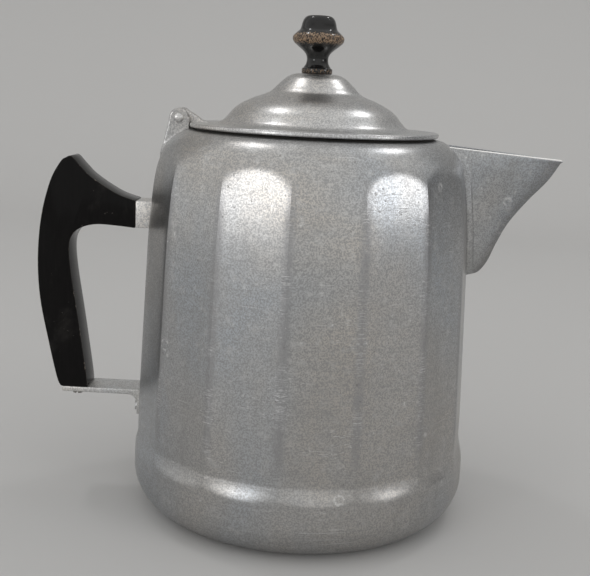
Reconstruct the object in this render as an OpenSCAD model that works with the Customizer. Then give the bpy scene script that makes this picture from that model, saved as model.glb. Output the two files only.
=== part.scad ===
// Stovetop coffee percolator: panelled cast pot, hinged lid, pump stem and coffee basket.
// Millimetres. The origin is the centre of the pot's flat bottom, +Z up.
// The spout points along +X, the handle along -X, and the lid's hinge pin lies along Y.

/* [Pot] */
// Radius of the round band at the base
base_r = 78; // [76:0.5:80]
// Radius of the rounding under the base band
base_round = 18; // [12:1:20]
// Number of flat panels around the pot
panels = 15; // [11:2:19]
// Radius over the panel edges just above the base band
edge_r_low = 77.4; // [76.5:0.1:78]
// Radius over the panel edges 150 mm up, if they ran straight
edge_r_high = 72.8; // [72:0.1:74]
// Height where the panels start to bend inwards
bend_z = 122; // [118:1:128]
// Radius of that bend
bend_r = 285; // [260:5:400]
// Height where the round shoulder starts to curve in
shoulder_z = 142; // [140:1:145]
// Height of the pot's rim
rim_z = 174.1; // [172:0.1:176]
// Radius of the open mouth
mouth_r = 52; // [50:0.5:52.5]
// Wall thickness behind the middle of a panel
wall = 2.8; // [2.2:0.1:3.4]
// Thickness of the floor
floor_t = 3.5; // [2.5:0.5:5]

/* [Spout] */
// Half of the spout's width where it meets the pot's shoulder
spout_half_w = 13; // [10:0.5:16]
// Wall thickness of the spout
spout_wall = 1.6; // [1.2:0.1:2.4]

/* [Lid] */
// Radius of the lid's flat flange
lid_r = 56; // [55.5:0.1:56.2]
// Thickness of the flange and of the domed wall
lid_t = 2; // [1.5:0.1:2.4]
// Radius of the hinge pin
pin_r = 1.5; // [1.2:0.1:1.8]

/* [Handle] */
// Thickness of the slab handle
handle_t = 15.5; // [12:0.5:19]
// Thickness of the lower bracket's arm
bracket_t = 2.5; // [2:0.1:3.5]

/* [Pump and basket] */
// Outer radius of the pump tube
tube_r = 4.5; // [4:0.1:5]
// Height of the top of the pump tube
tube_top = 181; // [176:1:183]
// Outer radius of the coffee basket
basket_r = 45; // [40:0.5:46]
// Height of the basket's floor
basket_z = 94; // [88:1:98]
// Height of the basket's wall
basket_h = 52; // [40:1:54]

/* [Hidden] */
$fn = 72;

gap = 0.3;                                   // clearance between pieces that move apart
step = 360 / panels;
half_step = step / 2;
panel_z = 30;                                // height at which edge_r_low is measured
run_out_z = 36;                              // panels are flat above this height
run_out_r = 12;                              // radius that lifts each panel out into the band
taper = (edge_r_low - edge_r_high) / (150 - panel_z);
tilt = atan(taper * cos(half_step));
land = 0.15;                                 // how far the round wall lies inside the panels' corners
shoulder_top = rim_z - 1.1;
rim_out = mouth_r + 2.5;                     // where the shoulder ends, under the lid's flange
lip_r = mouth_r + 1.2;                       // outside of the low lip that stands inside it
bore_z = 133.7;                              // height of the upper handle screw
hinge = [-60.4, 178];                        // hinge axis in X and Z
ear_r = 4.3;
ear_in = 4.3;                                // half of the slot between the two ears
ear_out = handle_t / 2;
lid_z = rim_z + gap;                         // underside of the lid's flange
crown_h = 25.6;                              // from there up to the knob's flat seat
crown_z = lid_z + crown_h;
knob_screw_r = 1.9;
spacer_x = -79.3;                            // where the grip's arm starts
seat_z = 50.5;                               // top of the lower bracket
lower_x = -107;                              // axis of the lower handle screw
spout_bottom = 112.6;
spout_tip_z = 167.2;
foot_z = floor_t + gap;
screw_r = 1.8;                               // the two handle screws
screw_hole_r = 2.1;                          // where a screw passes through metal
rivet_y = 4.2;                               // the bracket's rivets: either side of the middle
rivet_z = 42;                                // and their height
rivet_r = 1.5;
strainer_r = 1.9;
strainer_pitch = 6.2;
perforation_r = 1.1;                         // holes of the basket and of its lid
tube_wall = 0.8;
tube_seat = 15;                              // height in the pump's foot where the tube stands
cage_r = 9;
slide_gap = 0.7;                             // between the pump tube and what slides on it

// A Catmull-Rom curve through the points pts, with n steps between neighbours
function spline_at(a, b, c, d, t) =
    0.5 * (2 * b + (c - a) * t + (2 * a - 5 * b + 4 * c - d) * t ^ 2 + (3 * b - a - 3 * c + d) * t ^ 3);
function spline(pts, n = 4) = let (e = len(pts) - 1) concat(
    [for (i = [0 : e - 1]) for (k = [0 : n - 1])
        spline_at(pts[max(i - 1, 0)], pts[i], pts[i + 1], pts[min(i + 2, e)], k / n)],
    [pts[e]]);
function quarter(cx, cz, rx, rz, from, to, n) =
    [for (k = [0 : n]) let (a = from + (to - from) * k / n) [cx + rx * cos(a), cz + rz * sin(a)]];

// Distance to a panel's middle, radius over the panel edges, and the shoulder, at height z
function bend(z) = z < bend_z ? 0 : bend_r - sqrt(bend_r ^ 2 - (z - bend_z) ^ 2);
function flat_r(z) = (edge_r_low - taper * (z - panel_z)) * cos(half_step) - bend(z);
function edge_r(z) = flat_r(z) / cos(half_step);
function shoulder_r(z) = rim_out + (edge_r(shoulder_z) - rim_out)
    * sqrt(max(0, 1 - ((z - shoulder_z) / (shoulder_top - shoulder_z)) ^ 2));
function round_r(z) = z > shoulder_z ? shoulder_r(z) : edge_r(z);
// X of the pot's outside near the spout, at a distance y from the XZ plane
function pot_x(y, z) = min((flat_r(z) - abs(y) * sin(half_step)) / cos(half_step),
    sqrt(round_r(z) ^ 2 - y ^ 2));

module turned(points) { rotate_extrude() polygon(points); }
module upright(t) { rotate([90, 0, 0]) linear_extrude(t, center = true) children(); }
module along_x(r, x0, x1) { translate([x0, 0, 0]) rotate([0, 90, 0]) cylinder(r = r, h = x1 - x0); }
module along_y(r, y0, y1) { translate([0, y1, 0]) rotate([90, 0, 0]) cylinder(r = r, h = y1 - y0); }

// ---------------------------------------------------------------- pot

module pot_outside() {
    turned(concat([[0, 0]],
        quarter(base_r - base_round, base_round, base_round, base_round, -90, 0, 8),
        [[base_r, run_out_z - 12], [edge_r_low - land, run_out_z + 1],
            for (z = [bend_z + 3, bend_z + 9, bend_z + 15, shoulder_z]) [edge_r(z) - land, z]],
        quarter(rim_out, shoulder_z, edge_r(shoulder_z) - land - rim_out, shoulder_top - shoulder_z,
            8, 90, 10),
        [[lip_r, shoulder_top], [lip_r, rim_z], [0, rim_z]]));
}

module pot_inside() {
    r_low = flat_r(panel_z) - wall;
    r_high = flat_r(shoulder_z) - wall;
    turned(concat([[0, floor_t]],
        quarter(r_low - base_round, floor_t + base_round, base_round, base_round, -90, 0, 7),
        [for (z = [bend_z, bend_z + 10, shoulder_z]) [flat_r(z) - wall, z]],
        quarter(mouth_r, shoulder_z, r_high - mouth_r, shoulder_top - 3.4 - shoulder_z, 9, 90, 8),
        [[mouth_r, rim_z + 1], [0, rim_z + 1]]));
}

// Cuts one panel: flat, with a round run-out at its foot and a slow bend inwards at its head
module panel_cutter() {
    head = (bend_z - panel_z) / cos(tilt);
    translate([flat_r(panel_z), 0, panel_z]) rotate([0, -tilt, 0]) {
        translate([0, -22, run_out_z - panel_z]) cube([20, 44, head - run_out_z + panel_z]);
        translate([run_out_r, 0, run_out_z - panel_z]) along_y(run_out_r, -22, 22);
        difference() {
            translate([-8, -22, head]) cube([28, 44, 60]);
            translate([-bend_r, 0, head]) rotate([0, 180, 0]) along_y(bend_r, -24, 24, $fn = 720);
        }
    }
}

module ear_outline() {
    translate(hinge) circle(ear_r);
    polygon([[-64.65, 178.6], [-65.6, 173], [-67.3, 165], [-69.5, 158], [-62, 156], [-55.5, 164],
        [-55.9, 171], [-56.2, 177.2], [-60, 180]]);
}

// Rows of small holes behind the spout, with one hole in the lowest row, where the spout is narrow
module strainer_holes() {
    for (row = [0 : 4], k = [-1 : 1])
        if (row == 0 ? k == 0 : row % 2 == 0 || k < 1)
            translate([0, (k + (row % 2) / 2) * strainer_pitch, 123 + row * 8])
                along_x(strainer_r, 60, 80);
}

module pot_body() {
    color([0.74, 0.75, 0.76]) difference() {
        union() {
            difference() {
                pot_outside();
                for (k = [0 : panels - 1]) rotate([0, 0, (k + 0.5) * step]) panel_cutter();
            }
            for (s = [-1, 1]) translate([0, s * (ear_in + ear_out) / 2, 0])
                upright(ear_out - ear_in) ear_outline();
        }
        pot_inside();
        strainer_holes();
        translate([hinge[0], 0, hinge[1]]) along_y(pin_r, -10, 10);
        translate([0, 0, bore_z]) along_x(screw_hole_r, -80, -60);
        for (s = [-1, 1]) translate([0, s * rivet_y, rivet_z]) along_x(rivet_r, -80, -65);
    }
}

// ---------------------------------------------------------------- spout

keel = spline([[75.6, spout_bottom], [79.6, 114.3], [83.2, 119.5], [86.7, 128], [91.6, 137.8],
    [99.4, 148.2], [107.5, 157.5], [113.4, spout_tip_z]], 2);
side_steps = 6;

// One V-shaped section between the pot and the point k of the keel, drawn in by t
function spout_row(k, t, lift) = let (
        v = (k[1] - spout_bottom) / (spout_tip_z - spout_bottom),
        z = k[1] + (171.3 - spout_tip_z) * v ^ 2,
        w = 3 + (spout_half_w - 3) * sqrt(v) - t,
        x0 = pot_x(w, z) - (t > 0 ? 6 : 0.8))
    [for (j = [-side_steps : side_steps]) let (
            q = (abs(j) / side_steps) ^ 1.6,
            x = k[0] - 1.5 * t + (x0 - k[0] + 1.5 * t) * q,
            y = sign(j) * w * q ^ 0.8)
        [x, y, z + (k[1] - z) * (1 - q) + lift]];

module lofted(rows) {
    m = len(rows[0]);
    n = len(rows);
    polyhedron([for (r = rows) for (p = r) p], concat(
        [[for (j = [0 : m - 1]) j]],
        [for (i = [0 : n - 2], j = [0 : m - 1]) let (a = i * m + j, b = i * m + (j + 1) % m)
            [a, a + m, b]],
        [for (i = [0 : n - 2], j = [0 : m - 1]) let (a = i * m + j, b = i * m + (j + 1) % m)
            [b, a + m, b + m]],
        [[for (j = [m - 1 : -1 : 0]) (n - 1) * m + j]]));
}

module spout() {
    n = len(keel);
    inner = [for (i = [2 : n - 1]) spout_row(keel[i], spout_wall, spout_wall * (n - 1 - i) / n)];
    color([0.66, 0.67, 0.68]) difference() {
        lofted([for (k = keel) spout_row(k, 0, 0)]);
        lofted(concat(inner, [[for (p = inner[n - 3]) p + [0, 0, 6]]]));
    }
}

// ---------------------------------------------------------------- handle

module handle_bracket() {
    x_top = -flat_r(seat_z);
    x_low = -flat_r(38.5);
    fillet = 4.5;
    color([0.72, 0.72, 0.72]) difference() {
        upright(handle_t) difference() {
            polygon([[-112.8, seat_z], [x_top, seat_z], [x_low, 38.5], [x_low - 2.2, 38.5],
                [x_top - 2.2 - fillet, seat_z - bracket_t - fillet],
                [x_top - 2.2 - fillet, seat_z - bracket_t], [-112.8, seat_z - bracket_t]]);
            translate([x_top - 2.4 - fillet, seat_z - bracket_t - fillet]) circle(fillet);
            translate([x_top - 2.4 - 2 * fillet, 30])
                square([2 * fillet, seat_z - bracket_t - fillet - 30]);
        }
        translate([lower_x, 0, 40]) cylinder(r = screw_hole_r, h = 20);
        for (s = [-1, 1]) translate([0, s * rivet_y, rivet_z]) along_x(rivet_r, -85, -65);
    }
}

module bracket_rivets() {
    x_out = -flat_r(rivet_z) - 2.25;
    x_in = -flat_r(rivet_z) + wall + 0.2;
    color([0.7, 0.7, 0.7]) for (s = [-1, 1]) translate([0, s * rivet_y, rivet_z]) {
        along_x(rivet_r, x_out, x_in);
        along_x(2.4, x_out - 0.9, x_out);
        along_x(2.6, x_in, x_in + 1);
    }
}

module handle_spacer() {
    color([0.7, 0.7, 0.7]) difference() {
        upright(handle_t) polygon([[spacer_x, 127.4],
            for (z = [127.4 : 3.15 : 140.1]) [-flat_r(z), z],
            [spacer_x, 140]]);
        translate([0, 0, bore_z]) along_x(screw_hole_r, -90, -60);
    }
}

module grip_outline() {
    polygon(concat(
        spline([[-113.4, seat_z], [-115.4, 55], [-119.6, 74], [-123.1, 93], [-124, 112], [-122.3, 131],
            [-118.2, 147], [-113.6, 155.8], [-111, 158], [-108.4, 158.6], [-104.5, 154.6],
            [-100, 150.2], [-92, 145], [-86, 142], [spacer_x, 140]]),
        spline([[spacer_x, 127.4], [-88, 128.1], [-97, 128.3], [-103.8, 126.5], [-108, 123],
            [-109.6, 117], [-108.7, 105], [-105.3, 83], [-101.7, 58], [-100.9, seat_z]])));
}

module handle_grip() {
    color([0.06, 0.055, 0.05]) difference() {
        upright(handle_t) grip_outline();
        translate([0, 0, bore_z]) along_x(screw_r, -100, -70);
        translate([lower_x, 0, 40]) cylinder(r = screw_r, h = 30);
    }
}

module upper_screw() {
    color([0.55, 0.55, 0.55]) translate([0, 0, bore_z]) {
        along_x(screw_r, -99.5, -66.9);
        difference() {
            along_x(4, -66.9, -64.4);
            translate([-65.4, -0.5, -5]) cube([2, 1, 10]);
        }
    }
}

module upper_seal() {
    color([0.3, 0.12, 0.08]) translate([0, 0, bore_z]) difference() {
        along_x(6, -flat_r(bore_z + 6) + wall + 0.1, -66.9);
        along_x(screw_r, -80, -60);
    }
}

module lower_screw() {
    head_z = seat_z - bracket_t - 0.8;
    color([0.4, 0.4, 0.38]) translate([lower_x, 0, 0]) {
        translate([0, 0, head_z]) cylinder(r = screw_r, h = 22.5);
        difference() {
            translate([0, 0, head_z - 1.6]) cylinder(r1 = 2.4, r2 = 3.4, h = 1.6);
            translate([-0.5, -5, head_z - 2]) cube([1, 10, 1.2]);
        }
    }
}

module lower_washer() {
    color([0.45, 0.45, 0.43]) translate([lower_x, 0, seat_z - bracket_t - 0.8]) difference() {
        cylinder(r = 4.4, h = 0.8);
        translate([0, 0, -1]) cylinder(r = screw_r, h = 3);
    }
}

// ---------------------------------------------------------------- lid

module hinge_pin() {
    color([0.8, 0.8, 0.8]) translate([hinge[0], 0, hinge[1]]) {
        along_y(pin_r, -ear_out, ear_out);
        for (s = [-1, 1]) rotate([s * 90, 0, 0]) translate([0, 0, ear_out])
            rotate_extrude() polygon([[0, 0], [2.1, 0], [2.1, 0.25], [1.5, 0.65], [0.6, 0.8], [0, 0.8]]);
    }
}

// Outside of the dome, outwards from the lid's axis and up from the flange's underside
lid_curve = spline([[43.5, 2.4], [41, 3.8], [38.8, 6.1], [36.8, 8.5], [34.2, 10.7], [31, 12.6],
    [27.5, 14.2], [24, 15.5], [21, 16.8], [19.2, 18.1], [17.6, 19.8], [15.6, 21.7], [13.4, 23.6],
    [11, 24.9], [8.5, 25.5]], 2);

module lid() {
    inner = [for (p = lid_curve) [max(p[0] - lid_t * 0.72, 0), p[1] - lid_t * 0.85]];
    color([0.76, 0.77, 0.78]) difference() {
        union() {
            translate([0, 0, lid_z]) difference() {
                turned(concat([[0, 0], [lid_r, 0], [lid_r, lid_t - 0.5], [lid_r - 0.5, lid_t]],
                    lid_curve, [[0, crown_h]]));
                turned(concat([[0, -1], [inner[0][0], -1]], inner, [[0, crown_h - lid_t]]));
            }
            translate([0, 0, lid_z - 4.6]) difference() {
                cylinder(r = mouth_r - 1.6, h = 4.8);
                translate([0, 0, -1]) cylinder(r = mouth_r - 3.4, h = 7);
            }
            translate([hinge[0], 0, hinge[1]]) along_y(3.8, -ear_in + gap, ear_in - gap);
            upright(2 * (ear_in - gap)) polygon(concat(
                spline([[-60.4, 181.8], [-57.5, 181.5], [-54.8, 180.1], [-52.9, 178.9], [-50.9, 177.4],
                    [-46, 176.2]]),
                [[-46, lid_z + 0.5], [-55.5, lid_z + 0.1], [-58, 175]]));
        }
        for (s = [-1, 1]) translate([-60, s * 6.4 - 2.5, lid_z - 1]) cube([4.6, 5, 6]);
        translate([hinge[0], 0, hinge[1]]) along_y(pin_r + 0.06, -10, 10);
        translate([0, 0, crown_z - 10]) cylinder(r = screw_hole_r, h = 20);
    }
}

module knob() {
    color([0.05, 0.04, 0.035]) translate([0, 0, crown_z]) difference() {
        turned(concat([[0, 0], [6.85, 0], [6.85, 2.3]],
            spline([[6.2, 2.7], [5, 4.6], [4.7, 6.8], [5.6, 8.8], [7.6, 10.8], [10.2, 12.7], [11.5, 15],
                [10.8, 16.9], [8.6, 19], [7.6, 20.8], [7.2, 22.6], [6, 24.4], [4.2, 25.2]], 3),
            [[0, 25.2]]));
        translate([0, 0, -1]) cylinder(r = knob_screw_r, h = 15);
    }
}

module knob_screw() {
    color([0.6, 0.6, 0.6]) translate([0, 0, crown_z - 2.8]) difference() {
        union() {
            cylinder(r = knob_screw_r, h = 15.8);
            translate([0, 0, -2.4]) cylinder(r = 3.8, h = 2.4);
        }
        translate([-5, -0.5, -3]) cube([10, 1, 1.6]);
    }
}

module knob_washer() {
    color([0.6, 0.6, 0.6]) translate([0, 0, crown_z - 2.8]) difference() {
        cylinder(r = 5.4, h = 0.8);
        translate([0, 0, -1]) cylinder(r = knob_screw_r, h = 3);
    }
}

// ---------------------------------------------------------------- pump

module pump_tube() {
    color([0.8, 0.8, 0.8]) difference() {
        translate([0, 0, foot_z + tube_seat]) cylinder(r = tube_r, h = tube_top - foot_z - tube_seat);
        cylinder(r = tube_r - tube_wall, h = 200);
    }
}

module pump_foot() {
    outer = spline([[37.5, 0], [34, 4.5], [26, 8.5], [16, 12], [tube_r + 1.3, 15.5],
        [tube_r + 1.2, 30]], 2);
    inner = spline([[36.3, 0], [33, 3.6], [25.4, 7.4], [15.6, 10.8], [9, 11.4]], 2);
    color([0.72, 0.72, 0.72]) translate([0, 0, foot_z]) difference() {
        turned(concat(outer, [[0, 30]], [[0, 11.4]], [for (i = [len(inner) - 1 : -1 : 0]) inner[i]]));
        translate([0, 0, tube_seat]) cylinder(r = tube_r, h = 20);
        cylinder(r = tube_r - tube_wall, h = 20);
        for (k = [0 : 5]) rotate([0, 0, k * 60]) translate([0, 0, 0.6]) along_x(1.8, 28, 40);
    }
}

module valve_cage() {
    color([0.75, 0.75, 0.75]) translate([0, 0, foot_z + 6.4]) difference() {
        cylinder(r = cage_r, h = 5);
        translate([0, 0, 1]) cylinder(r = cage_r - 1, h = 5);
        translate([0, 0, -1]) cylinder(r = 5, h = 3);
        for (k = [0 : 2]) rotate([0, 0, k * 60]) translate([-12, -2.5, 2]) cube([24, 5, 1.8]);
    }
}

module valve_disc() {
    color([0.65, 0.65, 0.65]) translate([0, 0, foot_z + 7.4 + gap]) cylinder(r = cage_r - 1.6, h = 1);
}

module basket_stop() {
    color([0.7, 0.7, 0.7]) translate([0, 0, basket_z - 4]) difference() {
        cylinder(r = 7.5, h = 4 - gap);
        translate([0, 0, -1]) cylinder(r = tube_r, h = 6);
    }
}

// ---------------------------------------------------------------- basket

module perforated(r, hole, rings, t) {
    linear_extrude(t) difference() {
        circle(r);
        circle(rings[0] - 3.2);
        for (a = rings) let (n = round(a * 0.62)) for (k = [0 : n - 1])
            rotate((k + (a % 2) / 2) * 360 / n) translate([a, 0]) circle(hole);
    }
}

module coffee_basket() {
    color([0.7, 0.71, 0.72]) translate([0, 0, basket_z]) {
        difference() {
            turned(concat([[0, 0], [basket_r - 4.5, 0]],
                quarter(basket_r - 4.5, 4, 4, 4, -80, 0, 4),
                [[basket_r, basket_h - 2], [basket_r + 1.5, basket_h - 1.4],
                    [basket_r + 1.5, basket_h], [0, basket_h]]));
            translate([0, 0, -1]) cylinder(r = basket_r - 4.5, h = 3);
            translate([0, 0, 1]) turned(concat([[0, 0]],
                quarter(basket_r - 4.5, 3.5, 3.3, 3.5, -90, 0, 4),
                [[basket_r - 0.9, basket_h - 2], [basket_r - 0.2, basket_h], [0, basket_h]]));
        }
        perforated(basket_r - 4.5, perforation_r, [11, 17, 23, 29, 35], 1);
    }
}

module basket_sleeve() {
    color([0.75, 0.75, 0.75]) translate([0, 0, basket_z]) difference() {
        union() {
            cylinder(r = 6.2, h = basket_h - 6);
            translate([0, 0, 1]) cylinder(r = 8.6, h = 1);
            cylinder(r = 7.8, h = 1);
        }
        translate([0, 0, -1]) cylinder(r = tube_r + slide_gap, h = basket_h);
    }
}

module basket_lid() {
    color([0.78, 0.78, 0.78]) translate([0, 0, basket_z + basket_h + gap]) {
        perforated(basket_r - 2, perforation_r, [12, 20, 28, 36], 1);
        difference() {
            union() {
                cylinder(r = basket_r + 1.4, h = 1);
                translate([0, 0, -2]) cylinder(r = basket_r - 1.6, h = 3);
            }
            translate([0, 0, -3]) cylinder(r = basket_r - 2.6, h = 7);
        }
        difference() {
            cylinder(r = 8.8, h = 3);
            translate([0, 0, -1]) cylinder(r = tube_r + slide_gap, h = 6);
            translate([0, 0, 1]) cylinder(r = 7.6, h = 6);
        }
    }
}

pot_body();
spout();
handle_bracket();
bracket_rivets();
handle_spacer();
handle_grip();
upper_screw();
upper_seal();
lower_screw();
lower_washer();
hinge_pin();
lid();
knob();
knob_screw();
knob_washer();
pump_tube();
pump_foot();
valve_cage();
basket_stop();
valve_disc();
coffee_basket();
basket_sleeve();
basket_lid();
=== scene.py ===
# Looks of the stovetop percolator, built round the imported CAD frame.
# Sizes here are millimetres in the frame's own axes; the helpers turn them into metres.
import math

import bmesh
import bpy
import numpy as np
from mathutils import Matrix, Vector


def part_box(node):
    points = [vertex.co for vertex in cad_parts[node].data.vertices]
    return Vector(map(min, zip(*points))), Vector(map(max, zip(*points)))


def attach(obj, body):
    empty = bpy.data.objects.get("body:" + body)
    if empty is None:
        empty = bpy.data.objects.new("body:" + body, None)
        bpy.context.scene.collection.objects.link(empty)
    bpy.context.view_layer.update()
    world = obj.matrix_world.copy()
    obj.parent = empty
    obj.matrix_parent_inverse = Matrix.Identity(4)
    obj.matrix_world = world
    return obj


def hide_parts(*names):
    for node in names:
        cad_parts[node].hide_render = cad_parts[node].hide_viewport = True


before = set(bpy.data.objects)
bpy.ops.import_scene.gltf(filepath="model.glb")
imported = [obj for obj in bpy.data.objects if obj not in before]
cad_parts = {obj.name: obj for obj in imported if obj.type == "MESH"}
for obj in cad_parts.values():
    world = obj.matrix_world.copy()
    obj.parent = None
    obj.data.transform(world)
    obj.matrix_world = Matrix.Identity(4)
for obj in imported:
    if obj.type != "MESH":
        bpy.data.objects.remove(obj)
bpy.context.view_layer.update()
MM = 0.001


def low(node):
    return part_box(node)[0] / MM


def high(node):
    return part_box(node)[1] / MM


# ---------------------------------------------------------------- driving sizes, from the frame

PANELS = 15
STEP = 2 * math.pi / PANELS
HALF = STEP / 2
BASE_R = high("pot_body").y
BASE_ROUND = 18.0
PANEL_Z = 30.0
RUN_OUT_Z = 36.0  # below this the panels curve out into the base band
RUN_OUT_R = 12.0
BEND_Z = 122.0  # above this they bend inwards
BEND_R = 285.0
SHOULDER_Z = 142.0
PLUG = 4.6  # depth of the ring under the lid's flange
LID_Z = low("lid").z + PLUG
RIM_Z = LID_Z - 0.3
SHOULDER_TOP = RIM_Z - 0.7
MOUTH_R = 52.0
RIM_OUT = MOUTH_R + 2.5
LIP_R = MOUTH_R + 1.2
WALL = 2.8
FLOOR_T = 3.5
LAND = 0.15  # how far the round wall lies inside the panels' corners
EDGE_LOW = BASE_R - 0.6
EDGE_HIGH = EDGE_LOW - 4.6
TAPER = (EDGE_LOW - EDGE_HIGH) / (150.0 - PANEL_Z)
PIN = (low("hinge_pin") + high("hinge_pin")) / 2
PIN_R = 1.5
EAR_R = 4.3
EAR_IN = 4.3  # half of the slot between the two ears
KNUCKLE_R = 3.8
KNOB_SCREW_R = 2.1
CROWN_Z = low("knob").z
HANDLE_T = high("handle_grip").y - low("handle_grip").y
SEAT_Z = high("handle_bracket").z
SPACER_X = high("handle_grip").x
SPOUT_RISE = 4.1  # how far the rim rises from the spout's tip to the pot
SPOUT_FOOT = 112.6
TIP = Vector((high("spout").x, 0, high("spout").z - SPOUT_RISE))


# ---------------------------------------------------------------- mesh helpers


def make_mesh(name, points, faces):
    """A smooth-shaded mesh object from points in millimetres."""
    mesh = bpy.data.meshes.new(name)
    mesh.from_pydata([tuple(c * MM for c in p) for p in points], [], [tuple(int(i) for i in f) for f in faces])
    mesh.validate()
    bm = bmesh.new()
    bm.from_mesh(mesh)
    bmesh.ops.remove_doubles(bm, verts=bm.verts, dist=1e-6)
    bmesh.ops.recalc_face_normals(bm, faces=bm.faces)
    for f in bm.faces:
        f.smooth = True
    bm.to_mesh(mesh)
    bm.free()
    obj = bpy.data.objects.new(name, mesh)
    bpy.context.scene.collection.objects.link(obj)
    return obj


def sharpen(obj, degrees):
    """Keeps edges sharper than the given angle crisp, and shades the rest smooth."""
    bm = bmesh.new()
    bm.from_mesh(obj.data)
    for e in bm.edges:
        if len(e.link_faces) == 2 and e.calc_face_angle(0) > math.radians(degrees):
            e.smooth = False
    bm.to_mesh(obj.data)
    bm.free()
    return obj


def grid_faces(rows, columns, close_columns=True):
    """Four-sided faces between points listed row by row."""
    faces = []
    for i in range(rows - 1):
        for j in range(columns if close_columns else columns - 1):
            here, beside = i * columns + j, i * columns + (j + 1) % columns
            faces.append((here, beside, beside + columns, here + columns))
    return faces


def turned(name, profile, segments):
    """A solid of revolution about the Z axis; the profile's (radius, z) points start on the axis or close a ring."""
    points = []
    for r, z in profile:
        for k in range(segments):
            a = 2 * math.pi * k / segments
            points.append((r * math.cos(a), r * math.sin(a), z))
    faces = grid_faces(len(profile), segments)
    if profile[0] == profile[-1]:
        n = len(profile) - 1
        points = points[: n * segments]
        faces = [tuple(i % (n * segments) for i in f) for f in faces]
    return make_mesh(name, points, faces)


def curve_through(points, steps):
    """A Catmull-Rom curve through the points, with so many steps between each two."""
    p = [np.array(q, float) for q in points]
    out = []
    for i in range(len(p) - 1):
        a, b, c, d = p[max(i - 1, 0)], p[i], p[i + 1], p[min(i + 2, len(p) - 1)]
        for k in range(steps):
            t = k / steps
            square, cube = (2 * a - 5 * b + 4 * c - d) * t**2, (3 * b - a - 3 * c + d) * t**3
            out.append(0.5 * (2 * b + (c - a) * t + square + cube))
    out.append(p[-1])
    return [tuple(q) for q in out]


def arc(cx, cy, rx, ry, start, end, count):
    """Points along part of an ellipse, from one angle to another in degrees."""
    angles = [math.radians(start + (end - start) * k / count) for k in range(count + 1)]
    return [(cx + rx * math.cos(a), cy + ry * math.sin(a)) for a in angles]


def slab(name, outline, thickness, bevel, segments=4):
    """An outline in X and Z, extruded evenly about the XZ plane, with rounded edges."""
    bm = bmesh.new()
    front = [bm.verts.new((x * MM, -thickness / 2 * MM, z * MM)) for x, z in outline]
    face = bm.faces.new(front)
    moved = bmesh.ops.extrude_face_region(bm, geom=[face])
    for v in moved["geom"]:
        if isinstance(v, bmesh.types.BMVert):
            v.co.y = thickness / 2 * MM
    bmesh.ops.recalc_face_normals(bm, faces=bm.faces)
    mesh = bpy.data.meshes.new(name)
    bm.to_mesh(mesh)
    bm.free()
    obj = bpy.data.objects.new(name, mesh)
    bpy.context.scene.collection.objects.link(obj)
    mod = obj.modifiers.new("edges", "BEVEL")
    mod.width = bevel * MM
    mod.segments = segments
    mod.limit_method = "ANGLE"
    mod.angle_limit = math.radians(50)
    apply_modifiers(obj)
    for f in obj.data.polygons:
        f.use_smooth = True
    return sharpen(obj, 30)


def apply_modifiers(obj):
    """Turns the object's modifiers into its mesh."""
    depsgraph = bpy.context.evaluated_depsgraph_get()
    mesh = bpy.data.meshes.new_from_object(obj.evaluated_get(depsgraph))
    obj.modifiers.clear()
    obj.data = mesh


def cut(obj, cutters):
    """Takes the cutters' shapes out of the object, and removes the cutters."""
    for c in cutters:
        mod = obj.modifiers.new("cut", "BOOLEAN")
        mod.operation = "DIFFERENCE"
        mod.solver = "EXACT"
        mod.object = c
    apply_modifiers(obj)
    for c in cutters:
        bpy.data.objects.remove(c)
    return obj


def join(name, objects):
    """One object out of several, which are removed."""
    mesh = bpy.data.meshes.new(name)
    bm = bmesh.new()
    for o in objects:
        bm.from_mesh(o.data)
    bm.to_mesh(mesh)
    bm.free()
    for o in objects:
        bpy.data.objects.remove(o)
    obj = bpy.data.objects.new(name, mesh)
    bpy.context.scene.collection.objects.link(obj)
    return obj


def surface_net(name, field, lo, hi, cell):
    """Closed mesh of the region where field(x, y, z) is below zero."""
    axes = [np.arange(lo[k], hi[k] + cell, cell) for k in range(3)]
    gx, gy, gz = np.meshgrid(*axes, indexing="ij")
    f = field(gx, gy, gz)
    n = np.array(f.shape)
    total = np.zeros((*(n - 1), 3))
    count = np.zeros(tuple(n - 1))
    corners = [(i, j, k) for i in (0, 1) for j in (0, 1) for k in (0, 1)]
    for a in corners:
        for axis in range(3):
            if a[axis]:
                continue
            b = list(a)
            b[axis] = 1
            fa = f[a[0] : n[0] - 1 + a[0], a[1] : n[1] - 1 + a[1], a[2] : n[2] - 1 + a[2]]
            fb = f[b[0] : n[0] - 1 + b[0], b[1] : n[1] - 1 + b[1], b[2] : n[2] - 1 + b[2]]
            crossing = (fa < 0) != (fb < 0)
            t = np.where(crossing, fa / np.where(crossing, fa - fb, 1), 0)
            for m in range(3):
                at = a[m] + (t if m == axis else 0)
                total[..., m] += np.where(crossing, at, 0)
            count += crossing
    used = count > 0
    index = -np.ones(used.shape, int)
    index[used] = np.arange(used.sum())
    cells = np.argwhere(used)
    points = (cells + total[used] / count[used][:, None]) * cell + np.array(lo)
    faces = []
    for axis in range(3):
        u, v = [m for m in range(3) if m != axis]
        sel_a = [slice(1, n[m] - 1) for m in range(3)]
        sel_a[axis] = slice(0, n[axis] - 1)
        sel_b = list(sel_a)
        sel_b[axis] = slice(1, n[axis])
        fa, fb = f[tuple(sel_a)], f[tuple(sel_b)]
        for p in np.argwhere((fa < 0) != (fb < 0)):
            base = p.copy()
            base[u] += 1
            base[v] += 1
            quad = []
            for du, dv in ((0, 0), (-1, 0), (-1, -1), (0, -1)):
                q = base.copy()
                q[u] += du
                q[v] += dv
                quad.append(index[tuple(q)])
            faces.append(quad)
    return make_mesh(name, points, faces)


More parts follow.
